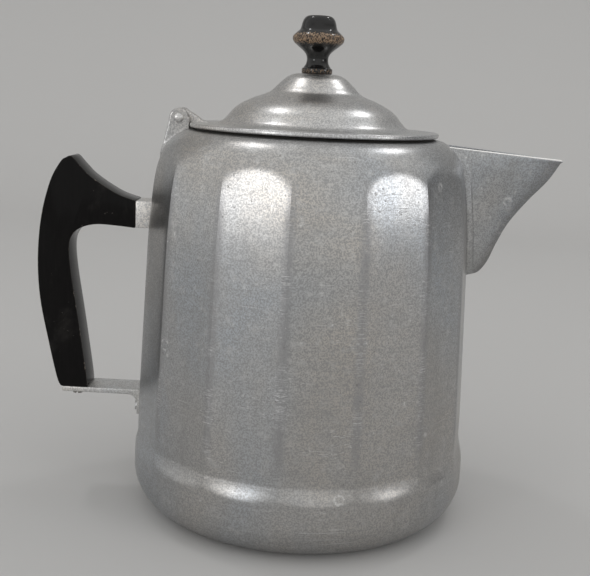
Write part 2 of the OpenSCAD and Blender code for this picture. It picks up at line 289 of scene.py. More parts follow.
def smooth_min(a, b, k):
    """The lesser of two fields, blended over a width k where they meet."""
    h = np.maximum(k - np.abs(a - b), 0) / k
    return np.minimum(a, b) - h * h * k / 4


def smooth_max(a, b, k):
    return -smooth_min(-a, -b, k)


# ---------------------------------------------------------------- shape of the pot


def flat_r(z):
    """Distance of a panel's middle from the axis: it leans in, then bends inwards towards its head."""
    over = np.clip(z - BEND_Z, 0, 60)
    return (EDGE_LOW - TAPER * (z - PANEL_Z)) * math.cos(HALF) - (BEND_R - np.sqrt(BEND_R**2 - over**2))


def edge_r(z):
    """Distance of the panels' corners from the axis."""
    return flat_r(z) / math.cos(HALF)


def shoulder_r(z):
    """Radius of the round shoulder, above the panels."""
    low_r = edge_r(SHOULDER_Z) - LAND
    s = np.clip((z - SHOULDER_Z) / (SHOULDER_TOP - SHOULDER_Z), 0, 1)
    return RIM_OUT + (low_r - RIM_OUT) * np.sqrt(1 - s**2)


def round_r(z):
    """Radius of the pot's round blank at height z, before the panels are cut."""
    band = BASE_R - (BASE_R - EDGE_LOW) * np.clip((z - 22) / 12, 0, 1) ** 1.5
    return np.where(z > SHOULDER_Z, shoulder_r(z), np.where(z < 34, band, edge_r(z)))


def panel_lift(z):
    """How far a panel's plane has run out towards the base band."""
    drop = np.clip(RUN_OUT_Z - z, 0, RUN_OUT_R - 0.01)
    return RUN_OUT_R - np.sqrt(RUN_OUT_R**2 - drop**2) + np.where(z < RUN_OUT_Z - RUN_OUT_R, 40, 0)


def panel_angle(a):
    """Angle from the middle of the nearest panel; the panels' edges start at +X."""
    return (a % STEP) - HALF


def outside_r(a, z, blank=None):
    """Radius of the pot's outside at polar angle a and height z."""
    blank = round_r(z) if blank is None else blank
    plane = (flat_r(z) + panel_lift(z)) / np.cos(panel_angle(a))
    softness = 0.8 + 1.6 * np.clip((48 - z) / 14, 0, 1)
    return smooth_min(blank - 0.05, plane, softness)


def pot_distance(x, y, z):
    """Rough signed distance from the pot's outside, used near the hinge."""
    a = np.arctan2(y, x)
    side = (np.hypot(x, y) - outside_r(a, z)) * np.where(z > 158, 0.75, 1)
    return np.maximum(side, z - SHOULDER_TOP)


def pot_rows():
    """(radius, z, panelled) along the wall, from the bottom's centre up the outside and down the inside."""
    foot = [(r, 0) for r in (0, 20, 40, 54)]
    foot += arc(BASE_R - BASE_ROUND, BASE_ROUND, BASE_ROUND, BASE_ROUND, -90, 0, 14)
    walls = [(None, z) for z in [*np.linspace(20, 38, 37), *np.linspace(42, SHOULDER_Z - 1, 16)]]
    walls += arc(RIM_OUT, SHOULDER_Z, edge_r(SHOULDER_Z) - RIM_OUT, SHOULDER_TOP - SHOULDER_Z, 1, 88, 44)
    rim = [(RIM_OUT, SHOULDER_TOP), (LIP_R + 0.1, SHOULDER_TOP), (LIP_R, SHOULDER_TOP + 0.1)]
    rim += [(LIP_R, RIM_Z - 0.3), (LIP_R - 0.1, RIM_Z - 0.1), (LIP_R - 0.3, RIM_Z)]
    rim += [(MOUTH_R + 0.3, RIM_Z), (MOUTH_R + 0.1, RIM_Z - 0.1), (MOUTH_R, RIM_Z - 0.3)]
    inner_top = SHOULDER_TOP - 3.4
    inner_r = flat_r(SHOULDER_Z) - WALL
    inside = [(MOUTH_R, inner_top)]
    inside += arc(MOUTH_R, SHOULDER_Z, inner_r - MOUTH_R, inner_top - SHOULDER_Z, 85, 0, 14)
    inside += [(flat_r(z) - WALL, z) for z in np.linspace(SHOULDER_Z - 12, 40, 8)]
    floor_r = flat_r(PANEL_Z) - WALL - BASE_ROUND
    inside += arc(floor_r, FLOOR_T + BASE_ROUND, BASE_ROUND, BASE_ROUND, 0, -90, 9)
    inside += [(30, FLOOR_T), (0, FLOOR_T)]
    plain = [(r, z, False) for r, z in rim + inside]
    return [(r, z, False) for r, z in foot] + [(r, z, True) for r, z in walls] + plain


def make_pot():
    """The shell, panelled outside and round inside, with the strainer holes cut through."""
    across = np.sin(np.linspace(-1, 1, 25)[:-1] * math.pi / 2) * HALF
    angles = np.concatenate([(k + 0.5) * STEP + across for k in range(PANELS)])
    points = []
    rows = pot_rows()
    for r, z, panelled in rows:
        if panelled:
            radii = outside_r(angles, np.float64(z), None if r is None else np.float64(r))
        else:
            radii = np.full(len(angles), float(r))
        points += [(q * math.cos(a), q * math.sin(a), z) for q, a in zip(radii, angles)]
    pot = make_mesh("pot_shell", points, grid_faces(len(rows), len(angles)))
    return cut(pot, [strainer_cutters()])


def rod(name, start, end, r, segments=32):
    """A plain round bar between two points, for cutters and shanks."""
    start, end = Vector(start), Vector(end)
    turn = (end - start).to_track_quat("Z", "Y").to_matrix()
    points = []
    for base in (start, end):
        for k in range(segments):
            a = 2 * math.pi * k / segments
            points.append(base + turn @ Vector((r * math.cos(a), r * math.sin(a), 0)))
    faces = grid_faces(2, segments) + [tuple(range(segments))[::-1], tuple(range(segments, 2 * segments))]
    return make_mesh(name, points, faces)


def strainer_cutters():
    """Rows of small holes behind the spout, with one hole in the lowest row."""
    hole_r, pitch = 1.9, 6.2
    two, three = (-pitch / 2, pitch / 2), (-pitch, 0, pitch)
    rods = []
    for z, sides in ((123, (0,)), (131, two), (139, three), (147, two), (155, three)):
        rods += [rod("hole", (60, y, z), (80, y, z), hole_r) for y in sides]
    return join("strainer_holes", rods)


def ear_field(x, y, z):
    """The two hinge ears, as plates with rounded edges."""
    rise = z - PIN.z
    disc = np.hypot(x - PIN.x, rise) - EAR_R
    left = -(x + 64.6 - rise * 0.235) + 0.035 * np.maximum(166 - z, 0) ** 2
    right = x + 55.6 + rise * 0.06
    outline = smooth_min(disc, np.maximum(np.maximum(left, right), rise), 0.8)
    middle, half_t = (HANDLE_T / 2 + EAR_IN) / 2, (HANDLE_T / 2 - EAR_IN) / 2
    return smooth_max(outline, np.abs(np.abs(y) - middle) - half_t, 0.8)


def make_ears():
    """The ears, with the fillets that join them to the shoulder, the slot between them and the pin's bore."""

    def field(x, y, z):
        pot = pot_distance(x, y, z)
        fillet = 2.4 * np.clip((172 - z) / 8, 0.2, 1) * np.clip((z - 153) / 9, 0.2, 1)
        both = smooth_min(pot, ear_field(x, y, z), fillet)
        skin = np.maximum(-(pot + 0.7), 0.05 - (pot - both))
        from_pin = np.hypot(x - PIN.x, z - PIN.z)
        slot = np.maximum(np.abs(y) - EAR_IN, from_pin - 5.2)
        return np.maximum(np.maximum(np.maximum(both, skin), -slot), PIN_R - from_pin)

    return surface_net("pot_hinge_ears", field, (-74, -13, 152), (-50, 13, 184), 0.3)


# ---------------------------------------------------------------- spout


BEAD = 3.6  # width of the raised bead along the seam
# distances from the wall at which each section has points, to shape the bead
ROOT_STEPS = (0, 0.15, 0.6, 1.2, 1.8, 2.4, 3.0, 3.45, 3.6, 4.4)


def spout_row(kx, kz, inset, drop):
    """One V-shaped section, from the pot's wall round the keel point and back; inset draws the sides in."""
    v = min(max((kz - SPOUT_FOOT) / (TIP.z - SPOUT_FOOT), 0), 1)
    z = kz + SPOUT_RISE * v**2
    w = 3 + 10 * math.sqrt(v)
    plane = (flat_r(z) - w * math.sin(HALF)) / math.cos(HALF)
    outside = inset < 1.5
    round_x = math.sqrt(max(float(round_r(np.float64(z))) ** 2 - w**2, 0))
    x0 = min(plane, round_x) - (0.4 if outside else 3.5)
    length = kx - 1.4 * inset - x0
    fractions = [(j / 16) ** 1.5 * max(1 - ROOT_STEPS[-1] / length, 0.3) for j in range(17)]
    fractions += [1 - d / length * min(1, length * 0.7 / ROOT_STEPS[-1]) for d in ROOT_STEPS[-2::-1]]
    bead_h = 0.95 * min(1, length / 12) * min(max((0.9 - v) / 0.35, 0), 1) if outside else 0
    side = []
    for q in fractions:
        out = (1 - q) * length
        bead = bead_h * math.sqrt(max(1 - ((out - BEAD / 2) / (BEAD / 2)) ** 2, 0))
        y = max(w * q**0.8 - inset * (0.4 + 0.6 * q), 0) + bead
        side.append((x0 + out, y, kz + (z - kz) * q - drop))
    return [(x, -y, h) for x, y, h in side[:0:-1]] + side


def make_spout():
    """A closed shell: the outside up to its rounded rim, and the channel inside."""
    keel = curve_through(
        [(75.4, SPOUT_FOOT), (79.4, 114.0), (83.2, 119.2), (86.7, 128), (91.6, 137.8), (99.4, 148.2),
         (107.5, 157.5), (TIP.x, TIP.z)], 8)
    kx, kz = keel[-1]
    outer = [spout_row(x, z, 0, 0) for x, z in keel[:-1] if kz - z > 1.5]
    for a in np.linspace(0.1, math.pi / 2, 6):
        outer.append(spout_row(kx, kz, 1.1 * (1 - math.cos(a)), 1.2 * (1 - math.sin(a))))
    inner = [spout_row(x, z, 1.7, -1.5 * (kz - z) / (kz - SPOUT_FOOT)) for x, z in keel[12:]]
    m = len(outer[0])
    points = [p for row in outer for p in row]
    faces = grid_faces(len(outer), m, False)
    start = len(points)
    points += [p for row in inner for p in row]
    faces += [tuple(start + i for i in f)[::-1] for f in grid_faces(len(inner), m, False)]
    last_out = (len(outer) - 1) * m
    last_in = start + (len(inner) - 1) * m
    faces += [(last_out + j, last_out + j + 1, last_in + j + 1, last_in + j) for j in range(m - 1)]
    faces.append([start + j for j in range(m)])
    left = [i * m for i in range(len(outer))] + [start + i * m for i in range(len(inner) - 1, -1, -1)]
    faces.append(left)
    faces.append([i + m - 1 for i in left][::-1])
    faces.append(list(range(m)))
    return sharpen(make_mesh("spout_shell", points, faces), 50)


# ---------------------------------------------------------------- handle


def make_grip():
    """The black slab handle, with a horn at its top and an arm towards the spacer."""
    outline = curve_through(
        [(-113.4, SEAT_Z), (-115.4, 55), (-119.6, 74), (-123.1, 93), (-124, 112), (-122.3, 131),
         (-118.2, 147), (-113.6, 155.8), (-111, 158), (-108.4, 158.6), (-104.5, 154.6),
         (-100, 150.2), (-92, 145), (-86, 142), (SPACER_X, 140)], 5)
    outline += curve_through(
        [(SPACER_X, 127.4), (-88, 128.1), (-97, 128.3), (-103.8, 126.5), (-108, 123), (-109.6, 117),
         (-108.7, 105), (-105.3, 83), (-101.7, 58), (-100.9, SEAT_Z)], 5)
    return slab("grip_wood", outline, HANDLE_T, 0.9)


def make_spacer():
    """The metal block between the pot's wall and the grip's arm."""
    outline = [(SPACER_X, 127.6), (-flat_r(127.4) + 0.3, 127.6), (-flat_r(140) + 0.3, 139.8), (SPACER_X, 139.8)]
    return slab("spacer_block", outline, HANDLE_T - 0.4, 0.5, 3)


def make_bracket():
    """A flat arm under the grip that bends down into a short leg along the pot."""
    end, leg_z, bend = -112.8, 38.5, 4.5
    x_top, x_low = -flat_r(SEAT_Z), -flat_r(leg_z)
    under = SEAT_Z - 2.5
    corner = x_top - 2.4
    outline = [(end, SEAT_Z), (x_top, SEAT_Z), (x_low, leg_z), (x_low - 2.2, leg_z)]
    outline += arc(corner - bend, under - bend, bend, bend, 0, 90, 8)
    outline += [(end, under)]
    return slab("bracket_arm", outline, HANDLE_T, 0.5, 3)


# ---------------------------------------------------------------- lid and knob

# outside of the dome, inwards from the flange and up from the flange's underside
LID_CURVE = [(43.5, 2.4), (41, 3.8), (38.8, 6.1), (36.8, 8.5), (34.2, 10.7), (31, 12.6), (27.5, 14.2), (24, 15.5),
             (21, 16.8), (19.2, 18.1), (17.6, 19.8), (15.6, 21.7), (13.4, 23.6), (11, 24.9), (8.5, 25.5)]


def make_lid():
    """The dome with its flange and plug ring, and a notch in the flange for each ear."""
    top = curve_through(LID_CURVE, 5)
    profile = [(KNOB_SCREW_R, 25.6), (5, 25.6)] + top[::-1]
    profile += curve_through([(44.5, 2.1), (47, 2.0), (54.8, 1.95)], 3)[1:]
    profile += arc(55.2, 1.15, 0.8, 0.8, 90, 0, 5) + [(56, 0.5), (55.6, 0.05), (50.8, 0), (50.4, -0.4)]
    profile += [(50.4, 0.4 - PLUG), (50.1, -PLUG), (49, -PLUG), (48.6, 0.4 - PLUG), (48.6, 0)]
    profile += [(r - 1.5, z - 1.7) for r, z in top if r > 9.5] + [(5, 23.6), (KNOB_SCREW_R, 23.6)]
    profile.append(profile[0])
    lid = turned("lid_dome", [(r, z + LID_Z) for r, z in profile], 192)
    slots = [rod("slot", (-56.7, s * 6.2, LID_Z - 2), (-56.7, s * 6.2, LID_Z + 5), 2.5, 48) for s in (-1, 1)]
    return sharpen(cut(lid, slots), 40)


def make_tongue():
    """The knuckle round the pin, and the tongue that runs from it down onto the flange."""
    top_x = [-60.4, -57.5, -54.8, -52.9, -50.9, -46, -40]
    top_rise = [3.7, 3.4, 2.0, 0.8, -0.7, -1.75, -1.9]

    def field(x, y, z):
        from_pin = np.hypot(x - PIN.x, z - PIN.z)
        top = np.interp(x, top_x, top_rise) + PIN.z
        ends = np.maximum(x + 44, -60.4 - x)
        bar = np.maximum(np.maximum(z - top, (LID_Z + 0.3) - z), ends)
        bar = np.maximum(bar, -(x + 60.4) * 0.6 - (z - PIN.z) - 3.6)
        solid = smooth_max(smooth_min(from_pin - KNUCKLE_R, bar, 1.2), np.abs(y) - 4.0, 0.8)
        return np.maximum(solid, PIN_R + 0.06 - from_pin)

    return surface_net("lid_tongue", field, (-66, -6, 172), (-42, 6, 184), 0.25)


def make_knob():
    """The turned knob, from its foot up."""
    profile = [(0, 0), (6.3, 0)] + arc(6.35, 0.5, 0.5, 0.5, -90, 0, 3) + arc(6.35, 1.9, 0.5, 0.5, 0, 90, 3)
    profile += curve_through(
        [(6.1, 2.7), (5.1, 4.3), (4.75, 6.4), (5.3, 8.3), (6.9, 10.1), (9.3, 12.0), (11.0, 13.6), (11.5, 15.2),
         (11.1, 16.4), (9.6, 17.9), (8.4, 19.0), (7.9, 20.2), (7.5, 21.8), (6.9, 23.4), (5.8, 24.6),
         (4.2, 25.1), (0, 25.2)], 5)
    return turned("knob_turning", [(r, h + CROWN_Z) for r, h in profile], 96)


def make_pin():
    """A rivet with a domed head on the outside of each ear."""
    parts = [rod("shank", (PIN.x, -HANDLE_T / 2 + 0.1, PIN.z), (PIN.x, HANDLE_T / 2 - 0.1, PIN.z), 1.48)]
    for s in (-1, 1):
        head = turned("head", [(0, -0.4), (2.1, -0.2)] + arc(0, 0.1, 2.1, 0.8, 0, 90, 7), 40)
        head.data.transform(Matrix.Rotation(s * -math.pi / 2, 4, "X"))
        head.data.transform(Matrix.Translation(Vector((PIN.x, s * HANDLE_T / 2, PIN.z)) * MM))
        parts.append(head)
    return join("hinge_rivet", parts)


# ---------------------------------------------------------------- materials


class Shader:
    """Short calls for building one node material."""

    def __init__(self, name):
        self.material = bpy.data.materials.new(name)
        self.material.use_nodes = True
        self.tree = self.material.node_tree
        self.surface = self.tree.nodes["Principled BSDF"]
        self.place = self.new("ShaderNodeTexCoord").outputs["Object"]

    def new(self, kind, **settings):
        node = self.tree.nodes.new(kind)
        for key, value in settings.items():
            setattr(node, key, value)
        return node

    def put(self, socket, value):
        """Links an output to the socket, or sets the socket to a constant."""
        if hasattr(value, "is_linked"):
            self.tree.links.new(value, socket)
        else:
            socket.default_value = value

    def math(self, operation, a, b=0.0, c=0.0):
        node = self.new("ShaderNodeMath", operation=operation)
        for socket, value in zip(node.inputs, (a, b, c)):
            self.put(socket, value)
        return node.outputs[0]

    def stretch(self, scale, vector=None):
        """The vector, or else the place, multiplied by the scale along each axis."""
        node = self.new("ShaderNodeVectorMath", operation="MULTIPLY")
        self.put(node.inputs[0], self.place if vector is None else vector)
        node.inputs[1].default_value = scale
        return node.outputs[0]

    def noise(self, vector, detail, roughness=0.5, distortion=0.0):
        node = self.new("ShaderNodeTexNoise")
        self.put(node.inputs["Vector"], vector)
        node.inputs["Scale"].default_value = 1.0
        node.inputs["Detail"].default_value = detail
        node.inputs["Roughness"].default_value = roughness
        node.inputs["Distortion"].default_value = distortion
        return node.outputs[0]

    def cells(self, vector):
        """Distance to the nearest cell point, and a random grey per cell."""
        node = self.new("ShaderNodeTexVoronoi")
        self.put(node.inputs["Vector"], vector)
        node.inputs["Scale"].default_value = 1.0
        split = self.new("ShaderNodeSeparateColor")
        self.put(split.inputs[0], node.outputs["Color"])
        return node.outputs["Distance"], split.outputs[0]

    def ramp(self, value, start, end, low=0.0, high=1.0):
        """A smooth step from low to high as the value goes from start to end."""
        node = self.new("ShaderNodeMapRange", interpolation_type="SMOOTHSTEP")
        for socket, v in zip(node.inputs, (value, start, end, low, high)):
            self.put(socket, v)
        return node.outputs[0]

    def mix(self, factor, a, b):
        node = self.new("ShaderNodeMix", data_type="RGBA")
        self.put(node.inputs[0], factor)
        self.put(node.inputs[6], a)
        self.put(node.inputs[7], b)
        return node.outputs[2]

    def all_of(self, first, *others):
        """The product of several masks."""
        for other in others:
            first = self.math("MULTIPLY", first, other)
        return first

    def split(self, vector):
        node = self.new("ShaderNodeSeparateXYZ")
        self.put(node.inputs[0], vector)
        return node.outputs

    def turned_place(self):
        """The place about the pot's axis: angle (400 to a turn), and height and radius in millimetres."""
        x, y, z = self.split(self.place)
        angle = self.math("MULTIPLY", self.math("ARCTAN2", y, x), 63.7)
        square = self.math("ADD", self.math("MULTIPLY", x, x), self.math("MULTIPLY", y, y))
        radius = self.math("MULTIPLY", self.math("SQRT", square), 1000)
        join = self.new("ShaderNodeCombineXYZ")
        for socket, value in zip(join.inputs, (angle, self.math("MULTIPLY", z, 1000), radius)):
            self.put(socket, value)
        return join.outputs[0]

    def bump(self, height, distance, under=None):
        """Relief of so many millimetres, on top of the normal under it."""
        node = self.new("ShaderNodeBump")
        self.put(node.inputs["Height"], height)
        node.inputs["Distance"].default_value = distance * MM
        node.inputs["Strength"].default_value = 1.0
        if under is not None:
            self.put(node.inputs["Normal"], under)
        return node.outputs[0]


def rgb(r, g, b):
    return (r, g, b, 1.0)


def tinted(tone, r, g, b):
    return rgb(tone * r, tone * g, tone * b)


def aluminium(name, tone, rough, wear, grime_and_low_shade, warm=0.0, film=0.0, pot=False, spout=False):
    """Worn aluminium polished round the pot's axis: fine lines, scratches, pits, specks, rings and stains, and painted
    shade that darkens it towards the bottom.
    film is the matt share of an old film. pot adds the marks that only the pot has, among them painted shade along the
    panels' corners and under the lid's flange, and spout those of the spout, among them painted shade along its keel
    and a painted highlight along its rim."""
    s = Shader(name)
    turned = s.turned_place()
    x, y, height = s.split(s.place)
    fine = s.noise(s.stretch((0.06, 4.0, 4.0), turned), 2.0, 0.6)
    broad = s.noise(s.stretch((0.015, 0.8, 0.8), turned), 3.0, 0.6)
    cloud = s.noise(s.stretch((30, 30, 24)), 5.0, 0.62, 0.4)
    grain = s.noise(s.stretch((1500, 1500, 1500)), 2.0, 0.6)
    mottle = s.noise(s.stretch((260, 260, 260)), 4.0, 0.7)
    blotch = s.noise(s.stretch((620, 620, 620)), 2.0, 0.5)
    line_field = s.noise(s.stretch((0.04, 3.4, 3.4), turned), 1.0, 0.4)
    line_break = s.noise(s.stretch((40, 40, 60)), 2.0, 0.5)
    tint = s.noise(s.stretch((16, 16, 11)), 3.0, 0.5, 0.6)
    lines = s.all_of(s.ramp(line_field, 0.66, 0.72), s.ramp(line_break, 0.5, 0.62))
    pits = s.all_of(s.ramp(blotch, 0.34, 0.27), s.ramp(mottle, 0.42, 0.6))
    specks = s.all_of(s.ramp(blotch, 0.67, 0.73), s.ramp(mottle, 0.5, 0.62))
    ring_at, ring_pick = s.cells(s.stretch((55, 55, 55)))
    ring_at = s.math("SUBTRACT", s.math("MULTIPLY_ADD", mottle, 0.08, ring_at), 0.17)
    rings = s.all_of(s.ramp(s.math("ABSOLUTE", ring_at), 0.035, 0.01), s.ramp(ring_pick, 0.72, 0.76))
    marks = s.math("MAXIMUM", specks, s.all_of(rings, s.ramp(blotch, 0.4, 0.6)))
    drip = s.ramp(s.noise(s.stretch((170, 170, 16)), 3.0, 0.6), 0.54, 0.72)
    stains_and_low_shade = s.math("MULTIPLY_ADD", s.ramp(cloud, 0.46, 0.66), 0.4, s.math("MULTIPLY", drip, 0.25))
    # painted shade: the height ramp below darkens the metal towards the bottom, on top of the cloudy stains and drips
    stains_and_low_shade = s.math("MULTIPLY", s.math("MULTIPLY_ADD", s.ramp(height, 0.15, 0.04), 0.45, stains_and_low_shade), grime_and_low_shade)

    base = s.mix(s.ramp(tint, 0.3, 0.7), tinted(tone, 0.97, 1.04, 1.12), tinted(tone, 1.15, 1.08, 0.99))
    base = s.mix(s.ramp(broad, 0.35, 0.65, 0.0, 0.3), base, tinted(tone, 0.8, 0.81, 0.83))
    base = s.mix(s.ramp(grain, 0.42, 0.58, 0.0, 0.75), base, tinted(tone, 0.6, 0.6, 0.61))
    base = s.mix(s.ramp(mottle, 0.5, 0.72, 0.0, 0.5), base, tinted(tone, 1.25, 1.25, 1.24))
    metal = 1.0 - film
    if pot:
        angle, _, radius = s.split(turned)
        corner = s.ramp(s.math("PINGPONG", angle, 200 / PANELS), 3.0, 0.6)
        corner = s.all_of(corner, s.ramp(height, 0.034, 0.05), s.ramp(height, 0.164, 0.14))
        # painted shade: darker, mottled strips along the panels' rounded corners, from 34 to 164 mm up; the rubbed
        # lines below are wear
        base = s.mix(s.all_of(corner, s.ramp(mottle, 0.3, 0.6, 0.35, 0.75)), base, tinted(tone, 0.66, 0.66, 0.68))
        rubbed = s.all_of(corner, s.ramp(line_field, 0.56, 0.64), s.ramp(line_break, 0.45, 0.55))
        lines = s.math("MAXIMUM", lines, rubbed)
        inside = inside_mask(s, height, radius)
        base = s.mix(inside, base, rgb(0.66, 0.62, 0.57))
        metal = s.math("MULTIPLY_ADD", inside, -0.55, 1.0)
    # stains, with painted shade towards the bottom
    base = s.mix(stains_and_low_shade, base, tinted(tone, 0.62, 0.6, 0.58 - warm))
    base = s.mix(s.math("MULTIPLY", pits, 0.55), base, rgb(0.2, 0.19, 0.18))
    base = s.mix(s.math("MULTIPLY", marks, 0.5), base, rgb(0.86, 0.86, 0.85))
    base = s.mix(s.math("MULTIPLY", lines, 0.4), base, rgb(0.9, 0.9, 0.9))
    shine = rough - 0.09
    for field, share in ((cloud, 0.14), (fine, 0.08), (grain, 0.1), (stains_and_low_shade, 0.1), (marks, 0.18)):
        shine = s.math("MULTIPLY_ADD", field, share, shine)
    if spout:
        # painted shade: the spout darkened along the keel's rounded edge
        keel = s.ramp(s.math("ABSOLUTE", y), 0.0045, 0.001)
        base = s.mix(s.math("MULTIPLY", keel, 0.5), base, tinted(tone, 0.4, 0.38, 0.37))
        # painted highlight: a near-white line along the top of the spout's rim
        slope = SPOUT_RISE / 50
        rim_height = s.math("MULTIPLY_ADD", x, -slope, (TIP.z + slope * TIP.x) * MM)
        rim = s.ramp(s.math("SUBTRACT", rim_height, height), 0.0009, 0.0005)
        base = s.mix(rim, base, rgb(0.92, 0.91, 0.89))
        shine = s.math("MULTIPLY_ADD", rim, 0.12, shine)
    if pot:
        # painted shade: the ledge and lip in the gap under the lid's flange made near black and less metallic
        seat_shade = seat_shade_mask(s, height, radius)
        base = s.mix(seat_shade, base, rgb(0.02, 0.017, 0.014))
        shine = s.math("MULTIPLY_ADD", seat_shade, 0.3, shine)
        metal = s.math("SUBTRACT", metal, seat_shade)
    s.put(s.surface.inputs["Base Color"], base)
    s.put(s.surface.inputs["Roughness"], shine)
    s.put(s.surface.inputs["Metallic"], metal)
    normal = s.bump(fine, 0.008 * wear)
    normal = s.bump(mottle, 0.03 * wear, normal)
    normal = s.bump(grain, 0.022 * wear, normal)
    normal = s.bump(s.math("ADD", pits, lines), -0.04 * wear, normal)
    s.put(s.surface.inputs["Normal"], normal)
    return s.material


def inside_mask(s, height, radius):
    """The pot's inside: what lies nearer the axis than the middle of its wall, which arches in under the shoulder."""
    above = s.math("MAXIMUM", s.math("SUBTRACT", height, SHOULDER_Z * MM), 0.0)
    below = s.math("MAXIMUM", s.math("SUBTRACT", SHOULDER_Z * MM, height), 0.0)
    arch = s.math("DIVIDE", above, (SHOULDER_TOP - 1.6 - SHOULDER_Z) * MM)
    arch = s.math("SQRT", s.math("MAXIMUM", s.math("SUBTRACT", 1.0, s.math("MULTIPLY", arch, arch)), 0.0))
    mid_wall = s.math("MULTIPLY_ADD", arch, 16.8, s.math("MULTIPLY_ADD", below, 37.5, MOUTH_R + 0.9))
    return s.all_of(s.ramp(s.math("SUBTRACT", radius, mid_wall), 0.3, -0.3), s.ramp(height, 0.02, 0.03))


def seat_shade_mask(s, height, radius):
    """The narrow ledge and lip under the lid's flange, painted near black as the shade in the crevice under the flange.
    """
    bottom, top = SHOULDER_TOP - 0.12, RIM_Z - 0.05
    return s.all_of(
        s.ramp(height, bottom * MM, (bottom + 0.15) * MM),
        s.ramp(height, (top + 0.1) * MM, top * MM),
        s.ramp(radius, RIM_OUT + 0.1, RIM_OUT),
        s.ramp(radius, MOUTH_R + 0.4, MOUTH_R + 0.7))


def black_wood(name, gloss, shine, worn_bands=(), bevel_at=None):
    """Black paint on wood. It is worn brown along worn_bands, each (lowest z, highest z, share worn away), and
    nicked along the two bevels that start bevel_at from the middle. shine is the shader's specular level."""
    s = Shader(name)
    grain = s.noise(s.stretch((900, 300, 90)), 4.0, 0.6, 0.3)
    smear = s.noise(s.stretch((70, 70, 50)), 4.0, 0.6, 0.3)
    blotch = s.noise(s.stretch((700, 700, 700)), 2.0, 0.6)
    chips = s.all_of(s.ramp(blotch, 0.72, 0.76), s.ramp(smear, 0.5, 0.62))
    base = s.mix(grain, rgb(0.004, 0.004, 0.004), rgb(0.009, 0.008, 0.008))
    base = s.mix(s.math("MULTIPLY", s.ramp(smear, 0.56, 0.75), 0.5), base, rgb(0.03, 0.028, 0.026))
    base = s.mix(s.math("MULTIPLY", chips, 0.5), base, rgb(0.2, 0.18, 0.16))
    _, y, height = s.split(s.place)
    bare = chips
    if bevel_at:
        side = s.math("ABSOLUTE", y)
        strip = s.all_of(
            s.ramp(side, (bevel_at - 0.05) * MM, bevel_at * MM),
            s.ramp(side, (bevel_at + 0.88) * MM, (bevel_at + 0.8) * MM))
        nick = s.all_of(strip, s.ramp(s.noise(s.stretch((260, 260, 260)), 4.0, 0.7), 0.56, 0.64))
        base = s.mix(s.math("MULTIPLY", strip, 0.35), base, rgb(0.05, 0.045, 0.04))
        base = s.mix(s.math("MULTIPLY", nick, 0.8), base, rgb(0.24, 0.2, 0.16))
        bare = s.math("MAXIMUM", bare, nick)
    if worn_bands:
        patch = s.noise(s.stretch((1500, 1500, 900)), 4.0, 0.7, 0.5)
        fibre = s.ramp(s.noise(s.stretch((2200, 2200, 800)), 3.0, 0.6), 0.4, 0.6)
        wood = s.mix(fibre, rgb(0.06, 0.03, 0.016), rgb(0.4, 0.28, 0.18))
    for low_z, high_z, share in worn_bands:
        middle = s.math("SUBTRACT", height, (low_z + high_z) / 2 * MM)
        near = s.ramp(s.math("ABSOLUTE", middle), (high_z - low_z) / 2 * MM, (high_z - low_z) / 5 * MM)
        worn = s.ramp(s.math("MULTIPLY_ADD", near, 0.2, patch), 0.74 - 0.2 * share, 0.78 - 0.2 * share)
        worn = s.all_of(worn, s.ramp(near, 0.0, 0.3))
        base = s.mix(worn, base, wood)
        bare = s.math("MAXIMUM", bare, worn)
    s.put(s.surface.inputs["Base Color"], base)
    rough = s.math("MULTIPLY_ADD", smear, 0.16, gloss)
    s.put(s.surface.inputs["Roughness"], s.math("MULTIPLY_ADD", bare, 0.35, rough))
    s.surface.inputs["Specular IOR Level"].default_value = shine
    normal = s.bump(grain, 0.015)
    s.put(s.surface.inputs["Normal"], s.bump(bare, -0.06, normal))
    return s.material


def rubber(name):
    s = Shader(name)
    grit = s.noise(s.stretch((900, 900, 900)), 4.0, 0.6)
    s.put(s.surface.inputs["Base Color"], s.mix(grit, rgb(0.16, 0.06, 0.04), rgb(0.3, 0.13, 0.09)))
    s.put(s.surface.inputs["Roughness"], s.math("MULTIPLY_ADD", grit, 0.2, 0.6))
    s.put(s.surface.inputs["Normal"], s.bump(grit, 0.05))
    return s.material


def dull_steel(name):
    s = Shader(name)
    stain = s.noise(s.stretch((300, 300, 300)), 5.0, 0.65)
    s.put(s.surface.inputs["Base Color"], s.mix(stain, rgb(0.12, 0.11, 0.1), rgb(0.42, 0.4, 0.37)))
    s.put(s.surface.inputs["Roughness"], s.math("MULTIPLY_ADD", stain, 0.3, 0.3))
    s.surface.inputs["Metallic"].default_value = 1.0
    s.put(s.surface.inputs["Normal"], s.bump(stain, 0.04))
    return s.material


def plain_paper(name, tone):
    s = Shader(name)
    tint = s.noise(s.stretch((3, 3, 3)), 2.0)
    s.put(s.surface.inputs["Base Color"], s.mix(tint, tinted(tone, 1.0, 0.99, 0.98), tinted(tone, 1.02, 1.01, 1.0)))
    s.surface.inputs["Roughness"].default_value = 0.75
    return s.material


def dress(obj, material):
    """Gives the object this material alone."""
    obj.data.materials.clear()
    obj.data.materials.append(material)
    return obj


# ---------------------------------------------------------------- camera, light and floor


